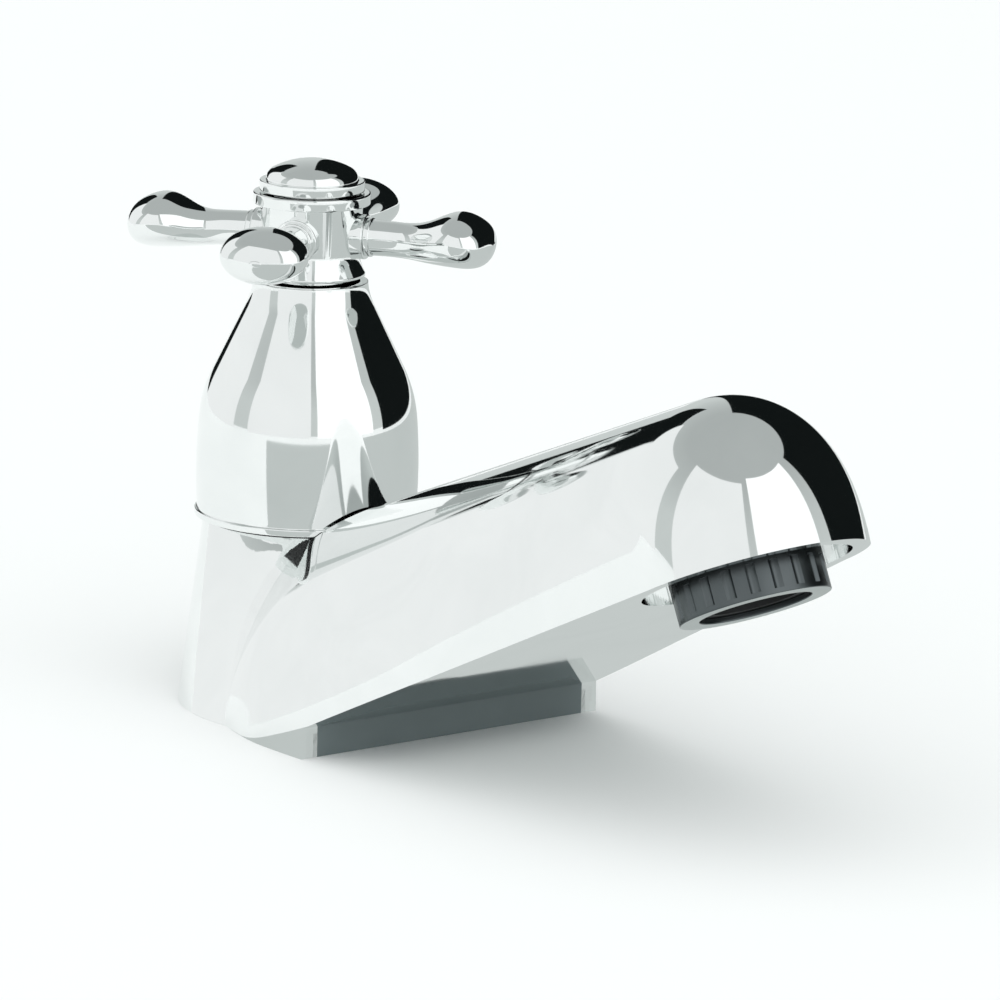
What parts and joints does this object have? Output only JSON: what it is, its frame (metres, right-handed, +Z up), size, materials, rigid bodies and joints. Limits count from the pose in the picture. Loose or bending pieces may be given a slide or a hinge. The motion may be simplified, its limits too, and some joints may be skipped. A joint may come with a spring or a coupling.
{
  "type": "cross handle tap",
  "caption": "Low basin tap with a conical column, sloping vaulted spout, fluted aerator ring, bell cover and cross handle.",
  "frame": {"origin": "on the valve's axis in the plane of the deck, at the mouth of the inlet thread", "axes": "+Z up along the valve's axis, spout towards -Y"},
  "size_m": [0.071, 0.1856, 0.1036],
  "materials": {
    "chrome": "polished",
    "dark_chrome": "satin",
    "brass": "machined",
    "steel": "bright",
    "dark_plastic": "satin",
    "white_plastic": "satin",
    "rubber": "matte"
  },
  "bodies": {
    "body": {"tap_body": "chrome", "base_insert": "dark_plastic", "base_gasket": "rubber", "insert_screws": "steel", "water_core": "brass", "inlet_bush": "brass", "valve_seat": "brass", "waterway_tube": "brass", "outlet_nipple": "brass", "aerator_ring": "dark_chrome", "aerator_insert": "dark_plastic", "aerator_washer": "rubber", "aerator_screens": "steel", "aerator_diffuser": "dark_plastic", "bonnet": "brass", "bonnet_washer": "white_plastic", "bell_cover": "chrome", "bell_seal": "rubber", "bell_lock_ring": "brass"},
    "handle": {"spindle": "brass", "spindle_orings": "rubber", "thrust_washer": "white_plastic", "spindle_circlip": "steel", "handle_hub": "chrome", "handle_arm_right": "chrome", "handle_arm_back": "chrome", "handle_arm_left": "chrome", "handle_arm_front": "chrome", "handle_screw": "steel", "handle_screw_washer": "steel", "dome_cap": "chrome"},
    "piston": {"valve_piston": "brass", "tap_washer": "rubber", "washer_screw": "steel"}
  },
  "joints": [
    {"name": "handle_turn", "type": "hinge", "parent": "body", "child": "handle", "pos_m": [0, 0, 0.088], "axis": [0, 0, 1], "range_deg": [0, 540]},
    {"name": "valve_lift", "type": "slide", "parent": "body", "child": "piston", "axis": [0, 0, 1], "range_m": [0, 0.0046]}
  ],
  "couplings": [
    {"joint": "valve_lift", "follows": "handle_turn", "m_per_rad": 0.00047746}
  ]
}
